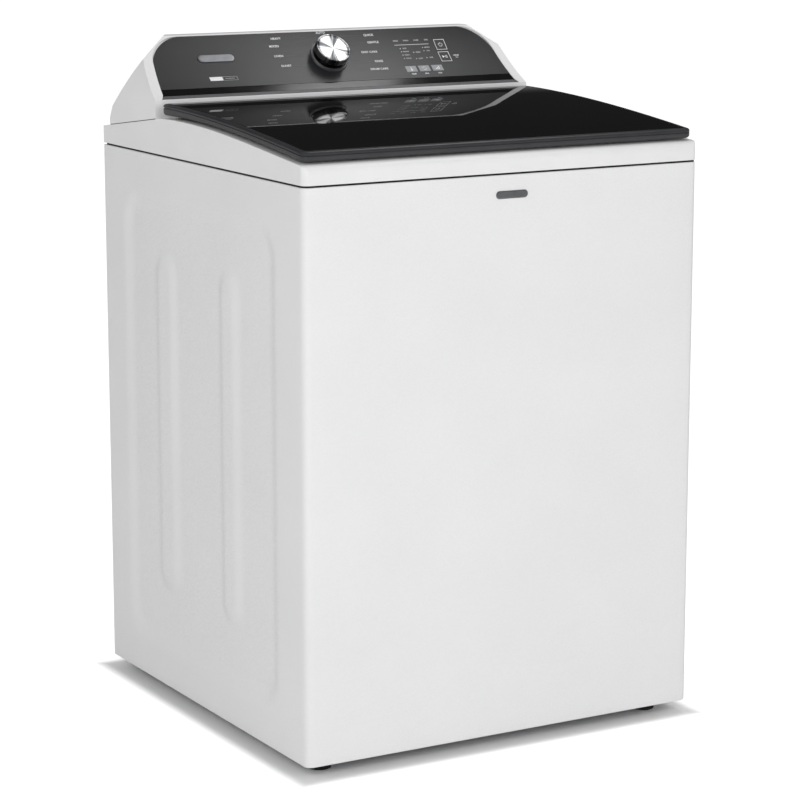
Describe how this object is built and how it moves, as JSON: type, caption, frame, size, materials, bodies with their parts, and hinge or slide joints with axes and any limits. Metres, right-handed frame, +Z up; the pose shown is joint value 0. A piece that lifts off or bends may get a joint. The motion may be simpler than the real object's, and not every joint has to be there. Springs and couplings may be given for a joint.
{
  "type": "top load washing machine",
  "caption": "Top load washer: enamelled cabinet, sloping control console with a dial, hinged dark glass lid over a deck, and a hung tub with spin basket, wash plate and lift-out post.",
  "frame": {"origin": "centre of the footprint on the floor", "axes": "+X to the machine's right as seen from the front, +Y from the front to the rear, +Z up"},
  "size_m": [0.6984, 0.708, 1.08],
  "materials": {
    "white_enamel": "gloss white baked enamel",
    "galvanised": "zinc-coated sheet",
    "zinc": "zinc plated",
    "white_plastic": "satin white",
    "white_nylon": "matte",
    "grey_plastic": "satin",
    "black_plastic": "matte",
    "graphite_plastic": "satin dark graphite",
    "charcoal_plastic": "satin",
    "black_rubber": "matte",
    "circuit_board": "solder mask",
    "chrome_trim": "polished",
    "spun_aluminium": "radially spun",
    "black_glass": "polished, deep tint",
    "tub_plastic": "moulded, satin",
    "cast_case": "as cast",
    "stainless": "brushed"
  },
  "bodies": {
    "cabinet": {"cabinet_shell": "white_enamel", "rear_panel": "galvanised", "base_frame": "galvanised", "foot_nuts": "zinc", "screws": "zinc", "suspension_rods": "zinc", "suspension_springs": "zinc", "top_deck": "white_plastic", "bleach_dispenser": "grey_plastic", "water_spout": "grey_plastic", "fill_hose": "black_rubber", "inlet_valve": "white_nylon", "cord_gland": "black_plastic", "drain_outlet": "black_plastic", "drain_hose": "black_rubber", "lid_hinge_bushes": "white_nylon", "lid_lock_housing": "black_plastic", "console_housing": "white_plastic", "console_rear_cover": "white_plastic", "control_board": "circuit_board", "fascia_panel": "graphite_plastic", "display_board": "circuit_board", "knob_encoder": "black_plastic", "knob_bezel": "chrome_trim"},
    "tub": {"outer_tub": "tub_plastic", "tub_ring": "tub_plastic", "gearcase": "cast_case", "tub_bearings": "zinc", "shift_actuator": "black_plastic", "motor_housing": "cast_case", "drive_belt": "black_rubber", "pump_housing": "black_plastic"},
    "lid": {"lid_frame": "charcoal_plastic", "lid_glass": "black_glass", "lid_hinge_pins": "zinc", "lid_bumpers": "black_rubber", "lid_strike": "zinc"},
    "knob": {"knob_grip": "black_plastic", "knob_cap": "spun_aluminium"},
    "power": {"power_button": "graphite_plastic"},
    "start": {"start_button": "graphite_plastic"},
    "option_1": {"option_button_1": "grey_plastic"},
    "option_2": {"option_button_2": "grey_plastic"},
    "option_3": {"option_button_3": "grey_plastic"},
    "bolt": {"lock_bolt": "zinc"},
    "basket": {"wash_basket": "stainless", "balance_ring": "tub_plastic", "basket_hub": "cast_case"},
    "washer_plate": {"wash_plate": "grey_plastic", "drive_shaft": "zinc"},
    "agitator": {"agitator_post": "grey_plastic", "softener_cap": "grey_plastic"},
    "pulley": {"drive_pulley": "cast_case"},
    "rotor": {"motor_rotor": "zinc"},
    "impeller": {"pump_impeller": "black_plastic"},
    "foot_fl": {"foot_front_left": "black_rubber"},
    "foot_fr": {"foot_front_right": "black_rubber"},
    "foot_rl": {"foot_rear_left": "black_rubber"},
    "foot_rr": {"foot_rear_right": "black_rubber"}
  },
  "joints": [
    {"name": "lid_hinge", "type": "hinge", "parent": "cabinet", "child": "lid", "pos_m": [0, 0.1255, 0.966], "axis": [-1, 0, 0], "range_deg": [0, 100]},
    {"name": "knob_turn", "type": "hinge", "parent": "cabinet", "child": "knob", "pos_m": [0, 0.20456, 1.0418], "axis": [0, -0.7, 0.7141], "continuous": true},
    {"name": "power_press", "type": "slide", "parent": "cabinet", "child": "power", "axis": [0, 0.7, -0.7141], "range_m": [0, 0.0012], "stiffness_N_per_m": 400, "springref_m": -0.0006},
    {"name": "start_press", "type": "slide", "parent": "cabinet", "child": "start", "axis": [0, 0.7, -0.7141], "range_m": [0, 0.0012], "stiffness_N_per_m": 400, "springref_m": -0.0006},
    {"name": "option_press_1", "type": "slide", "parent": "cabinet", "child": "option_1", "axis": [0, 0.7, -0.7141], "range_m": [0, 0.0012], "stiffness_N_per_m": 400, "springref_m": -0.0006},
    {"name": "option_press_2", "type": "slide", "parent": "cabinet", "child": "option_2", "axis": [0, 0.7, -0.7141], "range_m": [0, 0.0012], "stiffness_N_per_m": 400, "springref_m": -0.0006},
    {"name": "option_press_3", "type": "slide", "parent": "cabinet", "child": "option_3", "axis": [0, 0.7, -0.7141], "range_m": [0, 0.0012], "stiffness_N_per_m": 400, "springref_m": -0.0006},
    {"name": "lock_slide", "type": "slide", "parent": "cabinet", "child": "bolt", "axis": [-1, 0, 0], "range_m": [0, 0.008]},
    {"name": "tub_suspension", "type": "slide", "parent": "cabinet", "child": "tub", "axis": [0, 0, 1], "range_m": [-0.025, 0.01], "stiffness_N_per_m": 30000, "springref_m": 0.0151, "deforming": ["suspension_springs", "drain_hose"]},
    {"name": "basket_spin", "type": "hinge", "parent": "tub", "child": "basket", "pos_m": [0, -0.0105, 0.5], "axis": [0, 0, 1], "continuous": true},
    {"name": "pulley_spin", "type": "hinge", "parent": "tub", "child": "pulley", "pos_m": [0, -0.0105, 0.11], "axis": [0, 0, 1], "continuous": true},
    {"name": "washplate_turn", "type": "hinge", "parent": "tub", "child": "washer_plate", "pos_m": [0, -0.0105, 0.29], "axis": [0, 0, 1], "continuous": true},
    {"name": "agitator_lift", "type": "slide", "parent": "washer_plate", "child": "agitator", "axis": [0, 0, 1], "range_m": [0, 0.15]},
    {"name": "rotor_spin", "type": "hinge", "parent": "tub", "child": "rotor", "pos_m": [-0.15, -0.1505, 0.2], "axis": [0, 0, 1], "continuous": true},
    {"name": "impeller_spin", "type": "hinge", "parent": "tub", "child": "impeller", "pos_m": [0.15, -0.1605, 0.2], "axis": [0, 0, 1], "continuous": true},
    {"name": "foot_screw_fl", "type": "slide", "parent": "cabinet", "child": "foot_fl", "axis": [0, 0, 1], "range_m": [-0.012, 0]},
    {"name": "foot_screw_fr", "type": "slide", "parent": "cabinet", "child": "foot_fr", "axis": [0, 0, 1], "range_m": [-0.012, 0]},
    {"name": "foot_screw_rl", "type": "slide", "parent": "cabinet", "child": "foot_rl", "axis": [0, 0, 1], "range_m": [-0.012, 0]},
    {"name": "foot_screw_rr", "type": "slide", "parent": "cabinet", "child": "foot_rr", "axis": [0, 0, 1], "range_m": [-0.012, 0]}
  ],
  "couplings": [
    {"joint": "washplate_turn", "follows": "pulley_spin", "ratio": 0.25},
    {"joint": "rotor_spin", "follows": "pulley_spin", "ratio": 5.75}
  ]
}
